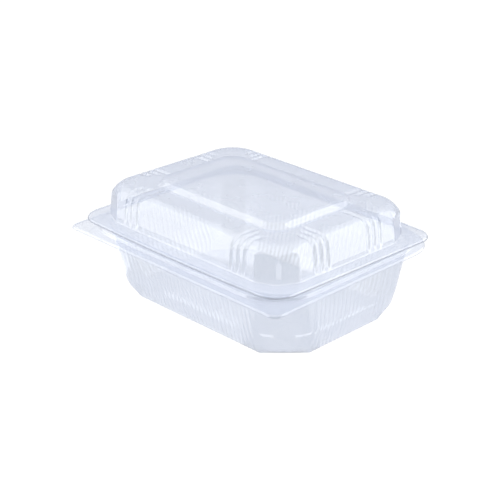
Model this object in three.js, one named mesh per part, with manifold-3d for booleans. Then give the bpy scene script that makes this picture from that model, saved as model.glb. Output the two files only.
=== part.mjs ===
// Clear hinged takeaway meal container: a fluted base tray with a wide brim and a
// domed lid that swings on a living hinge along its back long edge. The lid stands
// slightly ajar, as it does when the press-together rim is not pushed home.
//
// Frame: millimetres, +Z up, X along the length, Y across (the hinge is on +Y, the
// opening side on -Y). The origin is the middle of the footprint, on the table.
import * as THREE from 'three';

// ---------------------------------------------------------------- driving sizes
const WALL = 0.7;                 // sheet thickness of the solids

const TRAY_Y = 4.1;               // the tray sits back from the middle: the front brim is the wide one
const FOOT = { L: 77.3, W: 52.5, r: 21.5 };            // flat bottom with cut corners
const HEEL = { L: 79.7, W: 56.0, r: 21.6, z: 6.4 };    // swell of the wall above the foot
const KNEE = { L: 83.5, W: 58.8, r: 26.0, z: 17.4 };   // where the wall steepens
const MOUTH = { L: 87.8, W: 64.6, r: 29.4, z: 44.6 };  // top of the fluted wall
const FOOT_ROLL = 1.2;            // rolled edge between the bottom and the wall

const FLUTE_DEPTH = 0.55;         // half depth of the wall flutes
const FLUTES_LONG = 30;           // flutes on each long wall
const FLUTES_SHORT = 18;          // flutes on each short wall

const BEAD = { in: 1.3, top: 50.1 };         // raised sealing bead round the mouth
const LEDGE = { L: 90.9, W: 69.75, r: 31.0, y: 2.05 };  // outer edge of the bead, wider on the opening side
const BRIM = { L: 95.8, W: 74.5, rFront: 6.0, rBack: 26.0, z: 47.6, lip: 0.9 };

const LID_Y = 1.36;               // middle of the lid
const FLANGE = { L: 92.0, W: 72.0, rFront: 16.3, rBack: 13.5, y: 2.16, z: 51.7, lip: 0.9, bow: 1.6 };
const DOME = [                    // dome skin, from the flange up: half length, half width, corner, height
  { L: 83.4, W: 61.7, r: 20.0, z: 51.9 },
  { L: 82.9, W: 61.1, r: 19.6, z: 55.0 },
  { L: 82.3, W: 60.5, r: 18.6, z: 65.0 },
  { L: 81.2, W: 59.4, r: 17.6, z: 69.6 },
  { L: 79.0, W: 57.2, r: 16.6, z: 72.6 },
  { L: 75.9, W: 54.1, r: 15.6, z: 73.9 },
  { L: 69.5, W: 47.6, r: 14.6, z: 74.2 },
];
const RING_IN = { L: 57.6, W: 37.2, r: 13.4, z: 74.1 };  // foot of the raised top panel
const PANEL = { L: 55.1, W: 34.5, r: 12.0, z: 77.6 };    // edge of the raised top panel
const PANEL_CROWN = 0.5;

const GROOVE_DEPTH = 1.1;         // grooves pressed into the dome beside each corner
const GROOVE_HALF = 1.35;
const GROOVES_LONG = [43.4, 49.0, 54.6];    // their distance from the middle, long sides
const GROOVES_SHORT = [18.0, 23.5, 29.0];   // the same, short sides

const HINGE = { y: 74.55, z: 49.65, half: 69.0, gap: 0.15 };  // the fold line
const AJAR_DEG = 1.32;            // how far the lid stands open as modelled

const CORNER_STEPS = 7;

// ---------------------------------------------------------------- outlines
// A ring is a closed list of { x, y, z, s }. s runs 0..8: an even number starts a
// side, an odd number starts a corner, so rings with different numbers of points
// can be joined by walking along s.

const lerp = (a, b, t) => a + (b - a) * t;

// corner point at t = 0..1, from the first side to the next, in the (u, v) quadrant
function cornerPoint(L, W, r, t, shape) {
  const a = t * Math.PI / 2;
  const arc = [L - r + r * Math.cos(a), W - r + r * Math.sin(a)];
  const cut = [L - r * t, W - r + r * t];
  return [lerp(arc[0], cut[0], shape), lerp(arc[1], cut[1], shape)];
}

// options: cy, z, shape (0 round .. 1 cut corner), rBack, sides {long:[t], short:[t]},
// push(side, t, ring) -> how far a side point stands out, bow (front and back sides)
function ring(p, o = {}) {
  const { L, W } = p, z = o.z ?? p.z, cy = o.cy ?? 0;   // z may be given apart from the size
  const rF = p.rFront ?? p.r, rB = p.rBack ?? p.r, shape = o.shape ?? 0;
  const long = o.long ?? [0, 0.25, 0.5, 0.75], short = o.short ?? [0, 0.5];
  const steps = o.steps ?? CORNER_STEPS, push = o.push ?? (() => 0), bow = o.bow ?? 0;
  const out = [];
  const add = (x, y, s) => out.push({ x, y: y + cy, z, s });
  // side 0: +X, from y- to y+
  for (const t of short) add(L + push('short', t), lerp(-(W - rF), W - rB, t), 0 + t);
  for (let i = 0; i < steps; i++) { const t = i / steps, [u, v] = cornerPoint(L, W, rB, t, shape); add(u, v, 1 + t); }
  for (const t of long) add(lerp(L - rB, -(L - rB), t), W + push('long', t) + 0.15 * bow * 4 * t * (1 - t), 2 + t);
  for (let i = 0; i < steps; i++) { const t = i / steps, [u, v] = cornerPoint(L, W, rB, 1 - t, shape); add(-u, v, 3 + t); }
  for (const t of short) add(-(L + push('short', t)), lerp(W - rB, -(W - rF), t), 4 + t);
  for (let i = 0; i < steps; i++) { const t = i / steps, [u, v] = cornerPoint(L, W, rF, t, shape); add(-u, -v, 5 + t); }
  for (const t of long) add(lerp(-(L - rF), L - rF, t), -(W + push('long', t) + bow * 4 * t * (1 - t)), 6 + t);
  for (let i = 0; i < steps; i++) { const t = i / steps, [u, v] = cornerPoint(L, W, rF, 1 - t, shape); add(u, -v, 7 + t); }
  return out;
}

// ---------------------------------------------------------------- closed shells
// Walks a chain of rings from a capped first ring to a capped last ring.
function shellGeometry(rings) {
  const pos = [], idx = [];
  const put = (q) => { pos.push(q.x, q.y, q.z); return pos.length / 3 - 1; };
  const loops = rings.map((r) => r.map((q) => ({ i: put(q), s: q.s })));
  const join = (a, b) => {
    let i = 0, j = 0;
    const n = a.length, m = b.length;
    while (i < n || j < m) {
      const sa = i + 1 < n ? a[i + 1].s : 8 + a[0].s;
      const sb = j + 1 < m ? b[j + 1].s : 8 + b[0].s;
      if (j >= m || (i < n && sa <= sb)) {
        idx.push(a[i % n].i, a[(i + 1) % n].i, b[j % m].i); i++;
      } else {
        idx.push(a[i % n].i, b[(j + 1) % m].i, b[j % m].i); j++;
      }
    }
  };
  for (let k = 0; k + 1 < loops.length; k++) join(loops[k], loops[k + 1]);
  const cap = (r, loop, dz, flip) => {
    const cx = r.reduce((t, q) => t + q.x, 0) / r.length;
    const cy = r.reduce((t, q) => t + q.y, 0) / r.length;
    const c = put({ x: cx, y: cy, z: r[0].z + dz });
    for (let k = 0; k < loop.length; k++) {
      const a = loop[k].i, b = loop[(k + 1) % loop.length].i;
      if (flip) idx.push(b, a, c); else idx.push(a, b, c);
    }
  };
  cap(rings[0], loops[0], rings[0].dz ?? 0, true);
  cap(rings[rings.length - 1], loops[loops.length - 1], rings[rings.length - 1].dz ?? 0, false);
  const g = new THREE.BufferGeometry();
  g.setAttribute('position', new THREE.Float32BufferAttribute(pos, 3));
  g.setIndex(idx);
  return g;
}

// ---------------------------------------------------------------- the fluted tray
const fluteTs = (n) => { const t = []; for (let k = 0; k < n; k++) t.push(k / n, (k + 0.5) / n); return t; };
const FLUTED = { long: fluteTs(FLUTES_LONG), short: fluteTs(FLUTES_SHORT) };
const flutePush = (amount) => (side, t) => {
  const n = side === 'long' ? FLUTES_LONG : FLUTES_SHORT;
  const k = t * n;
  return Math.abs(k - Math.round(k)) < 0.1 ? 0 : amount;   // the ends of a side stay on the plain corner
};
const grow = (p, d) => ({ ...p, L: p.L + d, W: p.W + d, r: (p.r ?? 0) + d,
  rFront: p.rFront === undefined ? undefined : Math.max(0.5, p.rFront + d),
  rBack: p.rBack === undefined ? undefined : Math.max(0.5, p.rBack + d) });
const clean = (p) => { const q = { ...p }; for (const k of Object.keys(q)) if (q[k] === undefined) delete q[k]; return q; };
const at = (p, d) => clean(grow(p, d));

function trayRings() {
  const t = WALL, cy = TRAY_Y, r = [];
  const fl = { cy, ...FLUTED };
  const wall = (p, d, z, amount, shape) => ring(at(p, d), { ...fl, z, shape, push: flutePush(amount) });
  // underside and outside, going up
  r.push(ring(at(FOOT, -9), { cy, z: 0, shape: 1 }));
  r.push(wall(FOOT, -FOOT_ROLL, 0, FLUTE_DEPTH, 1));
  r.push(wall(FOOT, 0.15, FOOT_ROLL * 1.2, FLUTE_DEPTH, 0.9));
  r.push(wall(HEEL, 0, HEEL.z, FLUTE_DEPTH, 0.12));
  r.push(wall(KNEE, 0, KNEE.z, FLUTE_DEPTH, 0));
  r.push(wall(MOUTH, -0.6, MOUTH.z - 2.6, FLUTE_DEPTH, 0));
  r.push(ring(at(MOUTH, 0.1), { cy, z: MOUTH.z }));
  // bead, brim and lip, seen from below
  r.push(ring(at(MOUTH, BEAD.in + 0.05), { cy, z: MOUTH.z + 1.6 }));
  r.push(ring(at(MOUTH, BEAD.in + 0.75), { cy, z: BEAD.top - WALL }));
  r.push(ring(at(LEDGE, -0.75), { cy: LEDGE.y, z: BEAD.top - WALL }));
  r.push(ring(at(LEDGE, 0.35), { cy: LEDGE.y, z: BRIM.z - WALL }));
  r.push(ring(at(BRIM, -1.05), { z: BRIM.z - WALL }));
  r.push(ring(at(BRIM, -0.7), { z: BRIM.z - WALL - BRIM.lip + 0.25 }));
  r.push(ring(BRIM, { z: BRIM.z - WALL - BRIM.lip + 0.25 }));
  // and back over the top side
  r.push(ring(BRIM, { z: BRIM.z - 0.3 }));
  r.push(ring(at(BRIM, -0.4), { z: BRIM.z }));
  r.push(ring(at(LEDGE, 1.15), { cy: LEDGE.y, z: BRIM.z }));
  r.push(ring(at(LEDGE, 0), { cy: LEDGE.y, z: BEAD.top }));
  r.push(ring(at(MOUTH, BEAD.in), { cy, z: BEAD.top }));
  r.push(ring(at(MOUTH, BEAD.in - 0.7), { cy, z: MOUTH.z + 1.6 }));
  // inside of the wall, going down
  r.push(ring(at(MOUTH, 0.1 - t), { cy, z: MOUTH.z }));
  r.push(wall(MOUTH, -0.6 - t, MOUTH.z - 2.6, FLUTE_DEPTH, 0));
  r.push(wall(KNEE, -t, KNEE.z + 0.1, FLUTE_DEPTH, 0));
  r.push(wall(HEEL, -t, HEEL.z + 0.2, FLUTE_DEPTH, 0.12));
  r.push(wall(FOOT, 0.05 - t, FOOT_ROLL * 1.2 + 0.35, FLUTE_DEPTH, 0.9));
  r.push(wall(FOOT, -FOOT_ROLL - 0.35, WALL, FLUTE_DEPTH, 1));
  r.push(ring(at(FOOT, -9), { cy, z: WALL, shape: 1 }));
  return r;
}

// ---------------------------------------------------------------- the domed lid
// side sample positions: plain stretches plus three points on each groove
function grooveTs(half, r, centres) {
  const len = 2 * (half - r), ts = [0];
  const xs = [...centres.slice().reverse().map((c) => -c), ...centres];
  for (const c of xs) for (const d of [-GROOVE_HALF, 0, GROOVE_HALF]) ts.push((c + d + len / 2) / len);
  return ts.filter((t) => t >= 0 && t < 1);
}
const D0 = DOME[2];
const GROOVED = { long: grooveTs(D0.L, D0.r, GROOVES_LONG), short: grooveTs(D0.W, D0.r, GROOVES_SHORT) };
const groovePush = (amount) => (side, t) => {
  const half = side === 'long' ? D0.L : D0.W, centres = side === 'long' ? GROOVES_LONG : GROOVES_SHORT;
  const x = Math.abs((t - 0.5) * 2 * (half - D0.r));
  return centres.some((c) => Math.abs(x - c) < 0.01) ? -amount : 0;
};
const DOME_SHAPE = 0.1;   // corners between round and cut

function lidRings() {
  const t = WALL, cy = LID_Y, r = [];
  const dome = (p, d, z, amount) => ring(at(p, d), { cy, z, shape: DOME_SHAPE, ...GROOVED, push: groovePush(amount), steps: 6 });
  const depth = [0, 0.6, 1, 1, 0.9, 0.55, 0];
  // top side, going down from the panel
  r.push(ring(at(PANEL, -2.0), { cy, z: PANEL.z + 0.1 }));
  r.push(ring(PANEL, { cy, z: PANEL.z - 0.15 }));
  r.push(ring(at(RING_IN, 0), { cy, z: RING_IN.z }));
  for (let k = DOME.length - 1; k >= 0; k--) r.push(dome(DOME[k], 0, DOME[k].z, depth[k] * GROOVE_DEPTH));
  r.push(ring(at(FLANGE, -1.2), { cy: FLANGE.y, z: FLANGE.z, bow: FLANGE.bow }));
  r.push(ring(at(FLANGE, 0), { cy: FLANGE.y, z: FLANGE.z - 0.35, bow: FLANGE.bow }));
  r.push(ring(at(FLANGE, 0), { cy: FLANGE.y, z: FLANGE.z - WALL - FLANGE.lip + 0.35, bow: FLANGE.bow }));
  // underside, going back up
  r.push(ring(at(FLANGE, -0.7), { cy: FLANGE.y, z: FLANGE.z - WALL - FLANGE.lip + 0.35, bow: FLANGE.bow }));
  r.push(ring(at(FLANGE, -1.1), { cy: FLANGE.y, z: FLANGE.z - WALL, bow: FLANGE.bow }));
  r.push(dome(DOME[0], -0.15 - 0.3, DOME[0].z - WALL - 0.2, 0));
  for (let k = 1; k < DOME.length; k++) {
    const a = DOME[k - 1], b = DOME[Math.min(k + 1, DOME.length - 1)];
    const nz = (a.L - b.L) / Math.hypot(a.L - b.L, b.z - a.z || 1e-6);
    const nx = Math.sqrt(Math.max(0, 1 - nz * nz));
    r.push(dome(DOME[k], -t * nx, DOME[k].z - t * nz, depth[k] * GROOVE_DEPTH));
  }
  r.push(ring(at(RING_IN, -0.45), { cy, z: RING_IN.z - t + 0.1 }));
  r.push(ring(at(PANEL, -0.6), { cy, z: PANEL.z - t - 0.1 }));
  r.push(ring(at(PANEL, -2.3), { cy, z: PANEL.z - t + 0.05 }));
  return r;
}

// ---------------------------------------------------------------- solids
import Module from 'manifold-3d';
import { mergeVertices } from 'three/addons/utils/BufferGeometryUtils.js';

const wasm = await Module();
wasm.setup();

function toSolid(geometry) {
  const g = geometry.index ? geometry.toNonIndexed() : geometry.clone();
  for (const k of Object.keys(g.attributes)) if (k !== 'position') g.deleteAttribute(k);
  const m = mergeVertices(g, 1e-5);
  return new wasm.Manifold(new wasm.Mesh({
    numProp: 3,
    vertProperties: new Float32Array(m.attributes.position.array),
    triVerts: new Uint32Array(m.index.array),
  }));
}
function toGeometry(solid) {
  const m = solid.getMesh();
  const g = new THREE.BufferGeometry();
  g.setAttribute('position', new THREE.BufferAttribute(new Float32Array(m.vertProperties), 3));
  g.setIndex(new THREE.BufferAttribute(new Uint32Array(m.triVerts), 1));
  g.computeVertexNormals();
  return g;
}
function slab(x0, x1, y0, y1, z0, z1) {
  const g = new THREE.BoxGeometry(x1 - x0, y1 - y0, z1 - z0);
  g.translate((x0 + x1) / 2, (y0 + y1) / 2, (z0 + z1) / 2);
  return toSolid(g);
}

// a panel surface is crowned by lifting the middle of the first and last caps
const trayChain = trayRings();
const lidChain = lidRings().reverse();   // from the underside out to the edge and back over the top
lidChain[0].dz = PANEL_CROWN;
lidChain[lidChain.length - 1].dz = PANEL_CROWN;

// the fold: an upright web on the tray's back brim and one under the lid's back edge
const webIn = HINGE.y - HINGE.gap - WALL, webOut = HINGE.y - HINGE.gap;
const trayWeb = slab(-HINGE.half, HINGE.half, webIn, webOut - 0.02, BRIM.z - WALL - 0.35, HINGE.z - HINGE.gap);
const lidWeb = slab(-HINGE.half, HINGE.half, webIn, webOut, HINGE.z + HINGE.gap, FLANGE.z - 0.02)
  .add(slab(-HINGE.half, HINGE.half, FLANGE.y + FLANGE.W - 2.2, webOut, FLANGE.z - WALL, FLANGE.z - 0.02));

const traySolid = toSolid(shellGeometry(trayChain)).add(trayWeb);
const lidSolid = toSolid(shellGeometry(lidChain)).add(lidWeb);

// ---------------------------------------------------------------- scene graph
const clear = () => new THREE.MeshStandardMaterial({
  color: 0xe3e7f6, roughness: 0.08, metalness: 0, transparent: true, opacity: 0.3, side: THREE.DoubleSide,
});

const tray = new THREE.Mesh(toGeometry(traySolid), clear());
tray.name = 'tray';

const lid = new THREE.Mesh(toGeometry(lidSolid), clear());
lid.name = 'lid';
lid.position.set(0, -HINGE.y, -HINGE.z);

const lidPivot = new THREE.Group();
lidPivot.position.set(0, HINGE.y, HINGE.z);
lidPivot.rotation.x = THREE.MathUtils.degToRad(-AJAR_DEG);
lidPivot.add(lid);

const container = new THREE.Group();
container.add(tray, lidPivot);

export default container;
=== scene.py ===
import math
import bpy
import numpy as np
from mathutils import Matrix, Vector


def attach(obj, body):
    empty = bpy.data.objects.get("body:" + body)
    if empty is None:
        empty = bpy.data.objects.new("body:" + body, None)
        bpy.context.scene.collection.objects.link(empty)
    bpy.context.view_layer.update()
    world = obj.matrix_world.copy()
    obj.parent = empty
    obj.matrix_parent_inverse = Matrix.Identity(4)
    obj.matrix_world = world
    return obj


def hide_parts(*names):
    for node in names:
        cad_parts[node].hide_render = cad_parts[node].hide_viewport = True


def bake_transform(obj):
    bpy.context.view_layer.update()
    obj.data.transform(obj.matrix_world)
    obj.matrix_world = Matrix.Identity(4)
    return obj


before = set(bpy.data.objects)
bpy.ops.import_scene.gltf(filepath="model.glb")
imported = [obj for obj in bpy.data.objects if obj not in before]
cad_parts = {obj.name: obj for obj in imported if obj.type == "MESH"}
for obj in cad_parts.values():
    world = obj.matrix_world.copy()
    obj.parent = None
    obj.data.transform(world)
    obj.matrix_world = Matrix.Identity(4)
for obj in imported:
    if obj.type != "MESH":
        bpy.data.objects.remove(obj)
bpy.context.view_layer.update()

MM = 0.001

# ------------------------------------------------------------------ sizes (mm, part frame)
SHEET = 0.36                      # thickness of the formed sheet
TRAY_Y, LID_Y = 4.1, 1.36
HINGE_Y, HINGE_Z, AJAR = 74.55, 49.65, 1.32
FLUTES_LONG, FLUTES_SHORT = 30, 18
RIB = 0.48                        # how far a flute stands out


# ------------------------------------------------------------------ outlines
def unit_corner(points, soften, n=161):
    """A corner in the unit square from (0, 1) to (1, 0) through points, its vertices rounded by soften."""
    pts = np.array([(-0.5, 1.0), (0.0, 1.0), *points, (1.0, 0.0), (1.0, -0.5)])
    seg = np.hypot(*np.diff(pts, axis=0).T)
    at = np.concatenate([[0], np.cumsum(seg)])
    fine = np.linspace(0, at[-1], 1601)
    xy = np.stack([np.interp(fine, at, pts[:, k]) for k in (0, 1)], 1)
    if soften > 0:
        step = fine[1] - fine[0]
        half = int(3 * soften / step)
        g = np.exp(-0.5 * (np.arange(-half, half + 1) * step / soften) ** 2)
        g /= g.sum()
        xy = np.stack([np.convolve(np.pad(xy[:, k], half, mode="reflect", reflect_type="odd"), g, "valid") for k in (0, 1)], 1)
    keep = (fine >= at[1] - 1e-9) & (fine <= at[-2] + 1e-9)
    f, q = fine[keep], xy[keep]
    t = np.linspace(0, 1, n)
    s = f[0] + t * (f[-1] - f[0])
    q = np.stack([np.interp(s, f, q[:, k]) for k in (0, 1)], 1)
    q[0], q[-1] = (0, 1), (1, 0)
    return q


_t = np.linspace(0, 1, 161)
ARC = np.stack([np.sin(_t * math.pi / 2), np.cos(_t * math.pi / 2)], 1)
CUT = unit_corner([], 0.035)
FACETS = unit_corner([(0.69, 0.69)], 0.03)


class Columns:
    """The positions round an outline at which a skin is sampled: side number 0..3 (+X, +Y, -X, -Y), t along it, and corners."""

    def __init__(self, long, short, corner):
        kind, t = [], []
        for side, ts in enumerate((short, long, short, long)):
            ts = np.asarray(ts) if side in (0, 3) else np.asarray(ts)
            kind += [2 * side] * len(ts)
            t += list(ts)
            kind += [2 * side + 1] * corner
            t += list(np.arange(corner) / corner)
        self.kind, self.t = np.array(kind), np.array(t, float)
        self.n = len(kind)


def outline(P, cols):
    """x, y of every column on the outline P: half length L, half width W, corner radii rf (front) and rb (back), a share of each corner shape, bow."""
    L, W, rf, rb = P["L"], P["W"], P["rf"], P["rb"]
    cut, facet = P["cut"], P["facet"]
    table = (1 - cut - facet) * ARC + cut * CUT + facet * FACETS
    x, y = np.zeros(cols.n), np.zeros(cols.n)
    k, t = cols.kind, cols.t

    def corner(m, r, tt):
        u = np.interp(tt, _t, table[:, 0])
        v = np.interp(tt, _t, table[:, 1])
        return L - r + r * u, W - r + r * v     # from the long side (t = 0) to the short side (t = 1)

    m = k == 0; x[m] = L; y[m] = -(W - rf) + t[m] * (2 * W - rf - rb)
    m = k == 1; u, v = corner(m, rb, 1 - t[m]); x[m], y[m] = u, v
    m = k == 2; x[m] = (L - rb) * (1 - 2 * t[m]); y[m] = W + 0.15 * P["bow"] * 4 * t[m] * (1 - t[m])
    m = k == 3; u, v = corner(m, rb, t[m]); x[m], y[m] = -u, v
    m = k == 4; x[m] = -L; y[m] = (W - rb) - t[m] * (2 * W - rf - rb)
    m = k == 5; u, v = corner(m, rf, 1 - t[m]); x[m], y[m] = -u, -v
    m = k == 6; x[m] = -(L - rf) * (1 - 2 * t[m]); y[m] = -(W + P["bow"] * 4 * t[m] * (1 - t[m]))
    m = k == 7; u, v = corner(m, rf, t[m]); x[m], y[m] = u, -v
    return x, y + P["cy"]


KEYS = ("L", "W", "rf", "rb", "cut", "facet", "cy", "z", "bow", "amp")


def P(L, W, r, z, d=0.0, cy=0.0, rb=None, cut=0.0, facet=0.0, bow=0.0, amp=0.0):
    """A ring of the profile. d grows it outwards."""
    rb = r if rb is None else rb
    return np.array([L + d, W + d, max(0.4, r + d), max(0.4, rb + d), cut, facet, cy, z, bow, amp], float)


def profile(points):
    """Rings along a profile. points is a list of (ring, setback, steps): each inner vertex is rounded over setback mm, and steps rings go between it and the next."""
    rings = [q[0] for q in points]

    def gap(a, b):
        return math.hypot((abs(b[0] - a[0]) + abs(b[1] - a[1])) / 2, b[7] - a[7])

    out = [rings[0]]
    for i in range(1, len(points)):
        a, b = rings[i - 1], rings[i]
        d = max(gap(a, b), 1e-9)
        sa = points[i - 1][1] if i > 1 else 0.0
        sb = points[i][1] if i < len(points) - 1 else 0.0
        total = sa + sb
        if total > 0.96 * d:
            sa, sb = sa * 0.96 * d / total, sb * 0.96 * d / total
        p0, p1 = a + (b - a) * (sa / d), b - (b - a) * (sb / d)
        if i > 1 and points[i - 1][1] > 0:          # the rounded vertex before this stretch
            q0, c = out[-1], a
            n = points[i - 1][3] if len(points[i - 1]) > 3 else 5
            for k in range(1, n + 1):
                u = k / n
                out.append((1 - u) ** 2 * q0 + 2 * u * (1 - u) * c + u * u * p0)
        elif i > 1:
            pass
        steps = points[i - 1][2]
        start = out[-1]
        for k in range(1, steps + 1):
            out.append(start + (p1 - start) * (k / steps))
    return out


def grid(rings, cols):
    g = np.zeros((len(rings), cols.n, 3))
    for i, p in enumerate(rings):
        x, y = outline(dict(zip(KEYS, p)), cols)
        g[i, :, 0], g[i, :, 1], g[i, :, 2] = x, y, p[7]
    return g


def grid_normals(g):
    """Normals of a ring grid, pointing to the side that is on the left of its way up: outwards where rings go up outside."""
    du = np.roll(g, -1, 1) - np.roll(g, 1, 1)
    dv = np.empty_like(g)
    dv[1:-1] = g[2:] - g[:-2]
    dv[0], dv[-1] = g[1] - g[0], g[-1] - g[-2]
    n = np.cross(du, dv)
    return n / np.maximum(np.linalg.norm(n, axis=2, keepdims=True), 1e-12)


def skin(name, outer, inner, centre_out, centre_in, trim, amount, drawn_and_painted_shade):
    """A closed shell from two ring grids. Ring 0 is round the middle, where each side has a centre point, and the last
    rings are joined at the rim. outer faces along grid_normals. The last trim rings are the cut edge, painted darker by
    amount as painted shade for the shadowed gap along the rim. drawn_and_painted_shade says how far each point was
    stretched in forming, and it also paints lighter crests and grooves and darker flute valleys as painted shading.
    """
    r, n, _ = outer.shape
    verts = np.concatenate([outer.reshape(-1, 3), inner.reshape(-1, 3), [centre_out], [centre_in]]) * MM
    i = np.arange(r * n).reshape(r, n)
    j = i + r * n
    nx = np.roll(np.arange(n), -1)
    a = np.stack([i[:-1], i[:-1][:, nx], i[1:][:, nx], i[1:]], -1).reshape(-1, 4)
    b = np.stack([j[:-1], j[1:], j[1:][:, nx], j[:-1][:, nx]], -1).reshape(-1, 4)
    e = np.stack([i[-1], i[-1][nx], j[-1][nx], j[-1]], -1).reshape(-1, 4)
    co, ci = 2 * r * n, 2 * r * n + 1
    quads = np.concatenate([a, b, e])
    tris = np.concatenate([
        np.stack([np.full(n, co), i[0][nx], i[0]], -1),
        np.stack([np.full(n, ci), j[0], j[0][nx]], -1),
    ])
    faces = [tuple(f) for f in quads.tolist()] + [tuple(f) for f in tris.tolist()]
    me = bpy.data.meshes.new(name)
    me.from_pydata([tuple(v) for v in verts.tolist()], [], faces)
    me.polygons.foreach_set("use_smooth", np.ones(len(faces), bool))
    me.update()
    me.set_sharp_from_angle(angle=math.radians(50))
    # painted shade: the last trim rings of both skins carry the dark grey edge share
    mark = np.zeros((2, r, n), np.float32)
    mark[:, r - trim:] = amount
    cut = me.attributes.new("cut_edge_painted_shade", "FLOAT", "POINT")
    cut.data.foreach_set("value", np.concatenate([mark.ravel(), [0, 0]]).astype(np.float32))
    thin = me.attributes.new("drawn_and_painted_shade", "FLOAT", "POINT")
    thin.data.foreach_set("value", np.concatenate([drawn_and_painted_shade.ravel(), drawn_and_painted_shade.ravel(), [0, 0]]).astype(np.float32))
    ob = bpy.data.objects.new(name, me)
    bpy.context.scene.collection.objects.link(ob)
    return ob


def smooth(x, a, b):
    u = np.clip((x - a) / (b - a), 0, 1)
    return u * u * (3 - 2 * u)


# ------------------------------------------------------------------ the fluted tray
PER = 6                                           # samples in one flute
long_t = (np.arange(FLUTES_LONG * PER)) / (FLUTES_LONG * PER)
short_t = (np.arange(FLUTES_SHORT * PER)) / (FLUTES_SHORT * PER)
tray_cols = Columns(long_t, short_t, 18)

F = dict(cy=TRAY_Y)
FOOT = (77.3, 52.5, 21.5)
HEEL = (79.9, 56.3, 21.6)
KNEE = (83.6, 58.9, 26.0)
MOUTH = (87.8, 64.6, 29.4)
BRIM = (95.8, 74.5, 6.0)


def foot(d, z, cut=1.0):
    return P(*FOOT, z, d=d, cut=cut, **F)


def mouth(d, z, **k):
    return P(*MOUTH, z, d=d, **F, **k)


def brim(d, z):
    return P(*BRIM, z, d=d, rb=26.0)


tray_points = [
    (P(3.0, 2.2, 1.0, 0.0, **F), 0, 1),
    (P(40.0, 27.0, 10.0, 0.0, cut=1, **F), 0, 1),
    (foot(-4.0, 0.0), 0, 2),
    (foot(-0.05, 0.0), 1.0, 2, 4),
    (P(*HEEL, 6.1, cut=0.12, **F), 3.0, 4, 5),
    (P(*KNEE, 17.4, cut=0.06, **F), 2.0, 11, 5),
    (mouth(0.0, 44.3), 0.7, 1, 4),
    (mouth(1.1, 45.5), 0.6, 2, 3),
    (mouth(1.35, 50.05), 0.55, 1, 4),
    (P(90.95, 69.8, 31.0, 50.05, cy=2.05), 0.6, 2, 4),
    (P(91.4, 70.3, 31.4, 47.6, cy=2.0), 0.7, 3, 5),
    (brim(-0.85, 47.6), 0.6, 1, 4),
    (brim(-0.6, 46.35), 0.3, 1, 3),
    (brim(-0.14, 46.2), 0, 0),
]
tray_rings = profile(tray_points)
tg = grid(tray_rings, tray_cols)

# flutes: round ribs that stand out of the wall, from the foot to round tops under the mouth
k, t = tray_cols.kind, tray_cols.t
wave = np.zeros(tray_cols.n)
for kind, count in ((0, FLUTES_SHORT), (4, FLUTES_SHORT), (2, FLUTES_LONG), (6, FLUTES_LONG)):
    m = k == kind
    wave[m] = np.sin(math.pi * count * t[m]) ** 2
z = tg[:, :, 2]
n0 = grid_normals(tg)
rib = RIB * np.sqrt(np.clip(1 - np.clip((z - 38.6) / 3.0, 0, 1) ** 2, 0, 1))
reach = smooth(z, 0.1, 1.2) * (z < 44)
on_wall = np.arange(len(tray_rings))[:, None] >= 3
tg = tg + n0 * (rib * reach * wave[None, :] * on_wall)[:, :, None]
tn = grid_normals(tg)
tray_in = tg - tn * SHEET
tray_in[0, :, 2] = tg[0, :, 2] + SHEET
# painted shading: clearer flute crests and milkier flute valleys, together with the real thinning where the sheet was
# drawn
tray_drawn_and_painted_shade = (wave[None, :] - 0.5) * (rib / RIB) * reach * on_wall * np.isin(k, (0, 2, 4, 6))[None, :]
# the last 3 rings get 0.12 of the dark grey edge as painted shade
tray = skin("tray_sheet", tg, tray_in, (0, TRAY_Y, 0.0), (0, TRAY_Y, SHEET), 3, 0.12, tray_drawn_and_painted_shade)


# ------------------------------------------------------------------ the domed lid
GROOVES_LONG, GROOVES_SHORT = (43.4, 49.0, 54.6), (18.0, 23.5, 29.0)
D = dict(cy=LID_Y)


def dense(half, zones, fine, coarse):
    """t values along a side of that half length, close together inside the zones (distances from its middle)."""
    xs, x = [], -half
    while x < half - 1e-6:
        xs.append(x)
        near = any(a <= abs(x + fine / 2) <= b for a, b in zones)
        x += fine if near else coarse
    return (np.array(xs) + half) / (2 * half)


lid_cols = Columns(dense(63.5, [(35, 63.5)], 0.62, 3.5), dense(42.0, [(10, 42)], 0.62, 3.0), 20)


def dome(L, W, r, z, facet=0.0):
    return P(L, W, r, z, facet=facet, **D)


def flange(d, z):
    return P(92.0, 72.0, 16.3, z, d=d, rb=13.5, bow=1.6, cy=2.16)


lid_points = [
    (P(2.5, 1.6, 0.8, 78.05, **D), 0, 1),
    (P(30.0, 19.0, 6.0, 77.95, **D), 0, 1),
    (P(50.0, 30.0, 9.0, 77.7, **D), 0, 1),
    (P(55.3, 34.7, 12.2, 77.6, **D), 0.75, 3, 5),
    (P(57.8, 37.4, 13.6, 74.15, **D), 1.0, 10, 5),
    (dome(76.6, 54.9, 17.0, 74.25), 2.6, 1, 7),
    (dome(81.2, 59.5, 18.6, 70.4, 0.5), 3.0, 1, 7),
    (dome(82.3, 60.6, 19.4, 64.0, 1.0), 1.5, 5, 3),
    (dome(83.3, 61.6, 20.0, 52.0, 1.0), 0.7, 1, 4),
    (flange(-0.85, 51.7), 0.6, 1, 4),
    (flange(-0.6, 50.95), 0.1, 1, 1),
    (flange(-0.55, 50.5), 0.3, 1, 3),
    (flange(-0.14, 50.35), 0, 0),
]
lid_rings = profile(lid_points)
lg = grid(lid_rings, lid_cols)[:, :, :]
ln = -grid_normals(lg)          # the lid is written from its middle outwards and down: its outside is the other way
x, y, z = lg[:, :, 0], lg[:, :, 1] - LID_Y, lg[:, :, 2]
ring_no = np.arange(len(lid_rings))[:, None] * np.ones((1, lid_cols.n))


def bump(u):
    return np.where(np.abs(u) < 1, np.cos(np.clip(u, -1, 1) * math.pi / 2) ** 2, 0)


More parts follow.
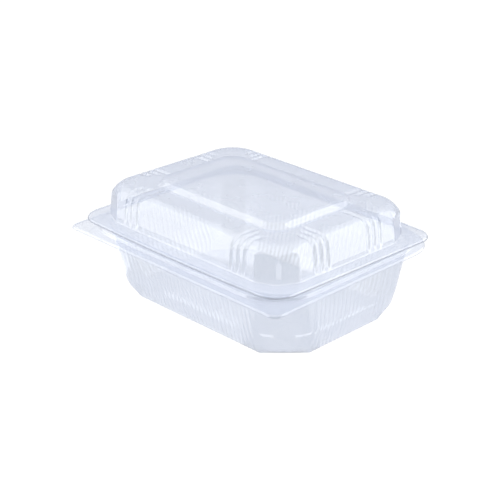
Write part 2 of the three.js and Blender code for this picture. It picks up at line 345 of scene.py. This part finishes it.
# grooves beside each corner: up the wall, over the shoulder and some way over the flat ring
press = np.zeros_like(x)
kind = lid_cols.kind[None, :] * np.ones_like(x)
skin_part = z > 52.3
rim_L, rim_W = 76.0, 54.4
for centres, along, across, rim, lengths in (
    (GROOVES_LONG, np.abs(x), np.abs(y), rim_W, (16.0, 12.5, 9.5)),
    (GROOVES_SHORT, np.abs(y), np.abs(x), rim_L, (16.0, 12.5, 9.5)),
):
    outside = across - (rim - 20)
    for c, reach in zip(centres, lengths):
        start = rim - reach
        way = smooth(across, start, start + 4.5) * smooth(z, 52.6, 54.6)
        if along is not None:
            press = np.maximum(press, bump((along - c) / 1.75) * way)
side_long = np.abs(y) > 37.4
side_short = np.abs(x) > 57.8
press = press * np.where((ring_no > 3), 1, 0)
lg = lg - ln * (1.25 * press)[:, :, None]

# thin ridges on the three edges of each two-facet corner
corner_t = lid_cols.t * (lid_cols.kind % 2)
is_corner = lid_cols.kind % 2 == 1
ridge = np.zeros(lid_cols.n)
for c in (0.0, 0.5, 1.0):
    ridge = np.maximum(ridge, np.where(is_corner, bump((corner_t - c) / 0.06), 0))
way = smooth(z, 52.6, 54.5) * (1 - smooth(z, 66.5, 71.5))
lg = lg + ln * (0.5 * ridge[None, :] * way)[:, :, None]

ln = -grid_normals(lg)
lid_in = lg - ln * SHEET
lid_in[0, :, 2] = lg[0, :, 2] - SHEET


def tilt(p, deg=-AJAR):
    a = math.radians(deg)
    q = np.array(p, float)
    yy, zz = q[..., 1] - HINGE_Y, q[..., 2] - HINGE_Z
    q[..., 1] = HINGE_Y + yy * math.cos(a) - zz * math.sin(a)
    q[..., 2] = HINGE_Z + yy * math.sin(a) + zz * math.cos(a)
    return q


# written with the inner skin first, so that the shell's faces point out
# the last 4 rings get 0.3 of the dark grey edge as painted shade
lid = skin("lid_sheet", tilt(lid_in), tilt(lg), tilt((0, LID_Y, 78.1 - SHEET)), tilt((0, LID_Y, 78.1)), 4, 0.3, 0.5 * press)


# ------------------------------------------------------------------ the living hinge
def fold_sheet():
    pts = np.array([(72.2, 47.98), (73.3, 47.98), (74.0, 48.15), (74.32, 48.7), (74.42, 49.4), (74.42, 50.0),
                    (74.3, 50.75), (73.9, 51.45), (73.2, 51.7), (72.0, 51.78)])
    seg = np.concatenate([[0], np.cumsum(np.hypot(*np.diff(pts, axis=0).T))])
    s = np.linspace(0, seg[-1], 40)
    from_ = [np.interp(s, seg, pts[:, c]) for c in (0, 1)]
    g = np.exp(-0.5 * (np.arange(-3, 4) / 1.4) ** 2); g /= g.sum()
    c = np.stack([np.convolve(np.pad(v, 3, mode="reflect", reflect_type="odd"), g, "valid") for v in from_], 1)
    d = np.gradient(c, axis=0); d /= np.linalg.norm(d, axis=1, keepdims=True)
    nrm = np.stack([-d[:, 1], d[:, 0]], 1)
    t = 0.22
    loop = np.concatenate([c, (c + nrm * t)[::-1]])
    xs = np.linspace(-68.5, 68.5, 50)
    m = len(loop)
    verts = [(xx * MM, p[0] * MM, p[1] * MM) for xx in xs for p in loop]
    faces = []
    for i in range(len(xs) - 1):
        for j in range(m):
            a, b = i * m + j, i * m + (j + 1) % m
            faces.append((a, b, b + m, a + m))
    faces.append(tuple(range(m))[::-1])
    faces.append(tuple((len(xs) - 1) * m + j for j in range(m)))
    me = bpy.data.meshes.new("hinge_fold")
    me.from_pydata(verts, [], faces)
    me.polygons.foreach_set("use_smooth", np.ones(len(faces), bool))
    me.update()
    me.set_sharp_from_angle(angle=math.radians(50))
    ob = bpy.data.objects.new("hinge_fold", me)
    bpy.context.scene.collection.objects.link(ob)
    return ob


fold = fold_sheet()


# ------------------------------------------------------------------ materials
CLEAR_FACE, CLEAR_MID, CLEAR_LOW, CLEAR_EDGE = (0.975, 0.985, 1.0), (0.965, 0.975, 0.995), (0.90, 0.915, 0.95), (0.60, 0.64, 0.73)
BODY = (0.735, 0.78, 0.89)
STEEP_TRAY = ((0.0, 0.115), (0.45, 0.145), (0.65, 0.178), (0.85, 0.25), (1.0, 0.38))     # how much of the pale body shows, by slant
STEEP_LID = ((0.0, 0.075), (0.45, 0.13), (0.65, 0.165), (0.85, 0.28), (1.0, 0.49))


def clear_sheet(name, seed, steep):
    mat = bpy.data.materials.new(name)
    mat.use_nodes = True
    nt = mat.node_tree
    for n in list(nt.nodes):
        nt.nodes.remove(n)
    new, link = nt.nodes.new, nt.links.new
    out = new("ShaderNodeOutputMaterial")
    coord = new("ShaderNodeTexCoord")
    place = new("ShaderNodeMapping"); place.inputs["Location"].default_value = (seed, seed * 0.7, 0)
    link(coord.outputs["Object"], place.inputs["Vector"])

    # faint waviness of the formed sheet, and fine handling scuffs
    wav = new("ShaderNodeTexNoise"); wav.inputs["Scale"].default_value = 70; wav.inputs["Detail"].default_value = 2
    link(place.outputs[0], wav.inputs["Vector"])
    bump_n = new("ShaderNodeBump"); bump_n.inputs["Strength"].default_value = 0.06; bump_n.inputs["Distance"].default_value = 0.0006
    link(wav.outputs["Fac"], bump_n.inputs["Height"])
    scuff = new("ShaderNodeTexNoise"); scuff.inputs["Scale"].default_value = 420; scuff.inputs["Detail"].default_value = 4
    link(place.outputs[0], scuff.inputs["Vector"])
    rough = new("ShaderNodeMapRange")
    rough.inputs["From Min"].default_value, rough.inputs["From Max"].default_value = 0.3, 0.75
    rough.inputs["To Min"].default_value, rough.inputs["To Max"].default_value = 0.04, 0.12
    link(scuff.outputs["Fac"], rough.inputs["Value"])

    # what passes straight through one face of the sheet: less and a little darker at a flat angle
    lw = new("ShaderNodeLayerWeight"); lw.inputs["Blend"].default_value = 0.5
    ramp = new("ShaderNodeValToRGB")
    ramp.color_ramp.elements[0].position, ramp.color_ramp.elements[0].color = 0.0, (*CLEAR_FACE, 1)
    ramp.color_ramp.elements[1].position, ramp.color_ramp.elements[1].color = 1.0, (*CLEAR_EDGE, 1)
    e = ramp.color_ramp.elements.new(0.6); e.color = (*CLEAR_MID, 1)
    e = ramp.color_ramp.elements.new(0.86); e.color = (*CLEAR_LOW, 1)
    link(lw.outputs["Facing"], ramp.inputs["Fac"])
    clear = new("ShaderNodeBsdfTransparent")
    link(ramp.outputs["Color"], clear.inputs["Color"])

    # the pale body of the sheet, a little uneven where it was stretched
    lit = new("ShaderNodeBsdfDiffuse"); lit.inputs["Color"].default_value = (*BODY, 1)
    through = new("ShaderNodeBsdfTranslucent"); through.inputs["Color"].default_value = (*BODY, 1)
    milk = new("ShaderNodeMixShader"); milk.inputs["Fac"].default_value = 0.3
    link(lit.outputs[0], milk.inputs[1])
    link(through.outputs[0], milk.inputs[2])
    body = new("ShaderNodeMixShader")
    thick = new("ShaderNodeMapRange")
    thick.inputs["To Min"].default_value, thick.inputs["To Max"].default_value = -0.02, 0.02
    link(wav.outputs["Fac"], thick.inputs["Value"])
    path = new("ShaderNodeValToRGB")
    for at, v in steep:
        e = path.color_ramp.elements[0] if at == 0 else path.color_ramp.elements[1] if at == 1 else path.color_ramp.elements.new(at)
        e.position, e.color = at, (v, v, v, 1)
    link(lw.outputs["Facing"], path.inputs["Fac"])
    share = new("ShaderNodeMath"); share.operation = "ADD"
    link(path.outputs["Color"], share.inputs[0])
    link(thick.outputs[0], share.inputs[1])

    # where forming drew the sheet out thin it is clearer; the same attribute also paints lighter flute crests and
    # grooves and darker flute valleys as painted shading
    drawn_and_painted_shade = new("ShaderNodeAttribute"); drawn_and_painted_shade.attribute_name = "drawn_and_painted_shade"
    less = new("ShaderNodeMath"); less.operation = "MULTIPLY_ADD"; less.use_clamp = True
    less.inputs[1].default_value = -0.11
    link(drawn_and_painted_shade.outputs["Fac"], less.inputs[0])
    link(share.outputs[0], less.inputs[2])
    link(less.outputs[0], body.inputs["Fac"])
    link(clear.outputs[0], body.inputs[1])
    link(milk.outputs[0], body.inputs[2])

    gloss = new("ShaderNodeBsdfGlossy"); gloss.inputs["Color"].default_value = (0.97, 0.975, 1.0, 1)
    link(rough.outputs[0], gloss.inputs["Roughness"])
    link(bump_n.outputs[0], gloss.inputs["Normal"])

    p5 = new("ShaderNodeMath"); p5.operation = "POWER"; p5.inputs[1].default_value = 5.0
    link(lw.outputs["Facing"], p5.inputs[0])
    fres = new("ShaderNodeMapRange")
    fres.inputs["To Min"].default_value, fres.inputs["To Max"].default_value = 0.06, 0.85
    link(p5.outputs[0], fres.inputs["Value"])
    top = new("ShaderNodeMixShader")
    link(fres.outputs[0], top.inputs["Fac"])
    link(body.outputs[0], top.inputs[1])
    link(gloss.outputs[0], top.inputs[2])

    # painted shade: the cut edge of the sheet is mixed toward dark grey, standing in for the shadowed gap along the
    # rims
    grey = new("ShaderNodeBsdfDiffuse"); grey.inputs["Color"].default_value = (0.20, 0.22, 0.27, 1)
    edge = new("ShaderNodeAttribute"); edge.attribute_name = "cut_edge_painted_shade"
    edge_painted_shade = new("ShaderNodeMixShader")
    link(edge.outputs["Fac"], edge_painted_shade.inputs["Fac"])
    link(top.outputs[0], edge_painted_shade.inputs[1])
    link(grey.outputs[0], edge_painted_shade.inputs[2])
    link(edge_painted_shade.outputs[0], out.inputs["Surface"])
    return mat


clear_tray = clear_sheet("clear_sheet_tray", 0.0, STEEP_TRAY)
clear_lid = clear_sheet("clear_sheet_lid", 3.1, STEEP_LID)
clear_fold = clear_sheet("clear_sheet_fold", 5.7, STEEP_TRAY)
tray.data.materials.append(clear_tray)
lid.data.materials.append(clear_lid)
fold.data.materials.append(clear_fold)

for ob, body, node in ((tray, "tray", "tray"), (lid, "lid", "lid")):
    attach(ob, body)
    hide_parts(node)
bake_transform(fold)
for ob in (tray, lid, fold):                      # a sheet this thin lets the soft light through to what is behind it
    ob.visible_shadow = ob.visible_diffuse = False


# ------------------------------------------------------------------ studio
scene = bpy.context.scene
floor_me = bpy.data.meshes.new("floor")
s = 4.0
floor_me.from_pydata([(-s, -s, -0.0002), (s, -s, -0.0002), (s, s, -0.0002), (-s, s, -0.0002)], [], [(0, 1, 2, 3)])
floor = bpy.data.objects.new("floor", floor_me)
scene.collection.objects.link(floor)
fm = bpy.data.materials.new("floor_paper")
fm.use_nodes = True
floor.visible_diffuse = False
b = fm.node_tree.nodes["Principled BSDF"]
b.inputs["Base Color"].default_value = (0.10, 0.10, 0.10, 1)
b.inputs["Roughness"].default_value = 0.9
b.inputs["Specular IOR Level"].default_value = 0.0
b.inputs["Emission Color"].default_value = (1, 1, 1, 1)
b.inputs["Emission Strength"].default_value = 0.97
floor_me.materials.append(fm)

AZ, EL = math.radians(46.09), math.radians(24.21)


def direction(az, el):
    return Vector((math.sin(az) * math.cos(el), -math.cos(az) * math.cos(el), math.sin(el)))


world = bpy.data.worlds.new("studio")
scene.world = world
world.use_nodes = True
wt = world.node_tree
for n in list(wt.nodes):
    wt.nodes.remove(n)
wout = wt.nodes.new("ShaderNodeOutputWorld")
bg = wt.nodes.new("ShaderNodeBackground")
wc = wt.nodes.new("ShaderNodeTexCoord")


def lobe(az, el, lo, hi, gain):
    """gain where the sky lies round that direction, easing out between the cosines hi and lo"""
    d = wt.nodes.new("ShaderNodeVectorMath"); d.operation = "DOT_PRODUCT"
    wt.links.new(wc.outputs["Generated"], d.inputs[0])
    d.inputs[1].default_value = direction(math.radians(az), math.radians(el))
    m = wt.nodes.new("ShaderNodeMapRange"); m.interpolation_type = "SMOOTHSTEP"
    m.inputs["From Min"].default_value, m.inputs["From Max"].default_value = lo, hi
    m.inputs["To Min"].default_value, m.inputs["To Max"].default_value = 0.0, gain
    wt.links.new(d.outputs["Value"], m.inputs["Value"])
    return m.outputs[0]


def plus(a, b):
    n = wt.nodes.new("ShaderNodeMath"); n.operation = "ADD"
    wt.links.new(a, n.inputs[0])
    if isinstance(b, float):
        n.inputs[1].default_value = b
    else:
        wt.links.new(b, n.inputs[1])
    return n.outputs[0]


level = plus(plus(lobe(0, 90, 0.2, 0.9, 0.88), 0.50), lobe(45, 5, 0.2, 0.95, -0.47))
level = plus(plus(level, lobe(-70, 8, 0.4, 0.95, 0.55)), lobe(160, 8, 0.4, 0.95, 0.55))
seen = wt.nodes.new("ShaderNodeLightPath")
pick = wt.nodes.new("ShaderNodeMix"); pick.data_type = "FLOAT"
wt.links.new(seen.outputs["Is Camera Ray"], pick.inputs["Factor"])
wt.links.new(level, pick.inputs["A"])
pick.inputs["B"].default_value = 1.0
bg.inputs["Color"].default_value = (1.0, 1.0, 1.0, 1)
wt.links.new(pick.outputs["Result"], bg.inputs["Strength"])
wt.links.new(bg.outputs[0], wout.inputs["Surface"])


def glow(m, strength, inside):
    """A card's light. Of it, the gloss behind two or more walls of clear sheet gets the share inside."""
    t = m.node_tree
    t.nodes.clear()
    e = t.nodes.new("ShaderNodeEmission")
    way = t.nodes.new("ShaderNodeLightPath")
    deep = t.nodes.new("ShaderNodeMapRange")
    deep.inputs["From Min"].default_value, deep.inputs["From Max"].default_value = 2.0, 3.0
    deep.inputs["To Min"].default_value, deep.inputs["To Max"].default_value = strength, strength * inside
    t.links.new(way.outputs["Transparent Depth"], deep.inputs["Value"])
    t.links.new(deep.outputs[0], e.inputs["Strength"])
    o = t.nodes.new("ShaderNodeOutputMaterial")
    t.links.new(e.outputs[0], o.inputs["Surface"])


def card(name, az, distance, side, low, high, strength):
    """A lit white card that stands beside the object, and shows only in its gloss."""
    u = direction(math.radians(az), 0.0)
    w = Vector((-u.y, u.x, 0))
    a, b = u * distance + w * side[0], u * distance + w * side[1]
    me = bpy.data.meshes.new(name)
    me.from_pydata([a + Vector((0, 0, low)), b + Vector((0, 0, low)), b + Vector((0, 0, high)), a + Vector((0, 0, high))],
                   [], [(0, 1, 2, 3)])
    ob = bpy.data.objects.new(name, me)
    scene.collection.objects.link(ob)
    m = bpy.data.materials.new(name)
    m.use_nodes = True
    m.node_tree.nodes.clear()
    e = m.node_tree.nodes.new("ShaderNodeEmission")
    e.inputs["Strength"].default_value = strength
    o = m.node_tree.nodes.new("ShaderNodeOutputMaterial")
    m.node_tree.links.new(e.outputs[0], o.inputs["Surface"])
    me.materials.append(m)
    ob.visible_camera = ob.visible_diffuse = ob.visible_shadow = ob.visible_transmission = False
    return ob


def low_card(name, x0, x1, y0, y1, z, strength, gloss=True):
    """A lit card that lies flat on or under the floor, seen by gloss or by the soft light only."""
    me = bpy.data.meshes.new(name)
    me.from_pydata([(x0, y0, z), (x1, y0, z), (x1, y1, z), (x0, y1, z)], [], [(0, 1, 2, 3)])
    ob = bpy.data.objects.new(name, me)
    scene.collection.objects.link(ob)
    m = bpy.data.materials.new(name)
    m.use_nodes = True
    m.node_tree.nodes.clear()
    e = m.node_tree.nodes.new("ShaderNodeEmission")
    e.inputs["Strength"].default_value = strength
    o = m.node_tree.nodes.new("ShaderNodeOutputMaterial")
    m.node_tree.links.new(e.outputs[0], o.inputs["Surface"])
    me.materials.append(m)
    ob.visible_camera = ob.visible_shadow = ob.visible_transmission = False
    ob.visible_diffuse, ob.visible_glossy = not gloss, gloss
    return ob


back = direction(AZ, EL)
right = Vector((math.cos(AZ), math.sin(AZ), 0))
up = back.cross(right)
aim = Vector((0, 0.00411, 0.040))
card("card_left", -44, 0.17, (-0.065, 0.155), 0.016, 0.26, 2.5)
card("card_right", 132, 0.17, (-0.150, 0.055), 0.016, 0.26, 2.85)
card("card_left_end", -98, 0.24, (-0.12, 0.12), 0.001, 0.11, 0.8)
card("card_right_end", 178, 0.24, (-0.12, 0.12), 0.001, 0.11, 0.8)
card("card_front", 44, 0.22, (-0.155, 0.155), 0.001, 0.16, 0.05)
low_card("strip_left", -0.033, 0.034, -0.0700, -0.0652, 0.0004, 2.4)
low_card("strip_right", 0.0941, 0.0988, -0.016, 0.036, 0.0004, 2.6)
low_card("shade_front", 0.040, 0.150, -0.130, -0.018, 0.0003, 0.6)
low_card("strip_left_end", -0.17, -0.090, -0.115, 0.0, 0.0003, 1.8)


def knee_glint(name, first, last, z, strength):
    """A lit ribbon on the floor that shines in the knee of the wall, round a part of the near corner."""
    eye = np.array(aim + back * 0.95217) / MM
    rows = [i for i, ring in enumerate(tray_rings) if 16.2 < ring[7] < 18.6]
    mid = rows[len(rows) // 2]
    cols = np.where((tray_cols.kind == 7) & (tray_cols.t >= first) & (tray_cols.t <= last))[0]
    hits = []
    for row in (mid - 1, mid + 1):
        for c in cols:
            at, n = tg[row, c], tn[row, c]
            v = (at - eye) / np.linalg.norm(at - eye)
            d = v - 2 * (v @ n) * n
            hits.append(tuple((at + d * ((z / MM - at[2]) / d[2])) * MM))
    m = len(cols)
    me = bpy.data.meshes.new(name)
    me.from_pydata(hits, [], [(i, i + 1, m + i + 1, m + i) for i in range(m - 1)])
    ob = bpy.data.objects.new(name, me)
    scene.collection.objects.link(ob)
    mat = bpy.data.materials.new(name)
    mat.use_nodes = True
    glow(mat, strength, 0.1)
    me.materials.append(mat)
    ob.visible_camera = ob.visible_diffuse = ob.visible_shadow = ob.visible_transmission = False


knee_glint("glint_left", 0.1, 0.36, 0.0005, 2.2)
knee_glint("glint_right", 0.64, 0.95, 0.0005, 2.2)
low_card("floor_fill", -4.0, 4.0, -4.0, 4.0, -0.001, 0.80, gloss=False)

# ------------------------------------------------------------------ camera
cam_data = bpy.data.cameras.new("camera")
cam = bpy.data.objects.new("camera", cam_data)
scene.collection.objects.link(cam)
roll = math.radians(-0.8)
r2 = right * math.cos(roll) + up * math.sin(roll)
u2 = -right * math.sin(roll) + up * math.cos(roll)
place = aim + back * 0.95217
cam.matrix_world = Matrix((
    (r2.x, u2.x, back.x, place.x), (r2.y, u2.y, back.y, place.y), (r2.z, u2.z, back.z, place.z), (0, 0, 0, 1)))
cam_data.sensor_width = 36
cam_data.lens = 1469.85 / 500 * 36
cam_data.shift_x = (250 - 256.82) / 500
cam_data.shift_y = (242.35 - 250) / 500
cam_data.clip_start, cam_data.clip_end = 0.05, 20
scene.camera = cam

scene.view_settings.view_transform = "Standard"
scene.view_settings.look = "None"
scene.cycles.max_bounces = 16
scene.cycles.transparent_max_bounces = 48
scene.cycles.glossy_bounces = 5
scene.cycles.caustics_reflective = False
scene.cycles.caustics_refractive = False
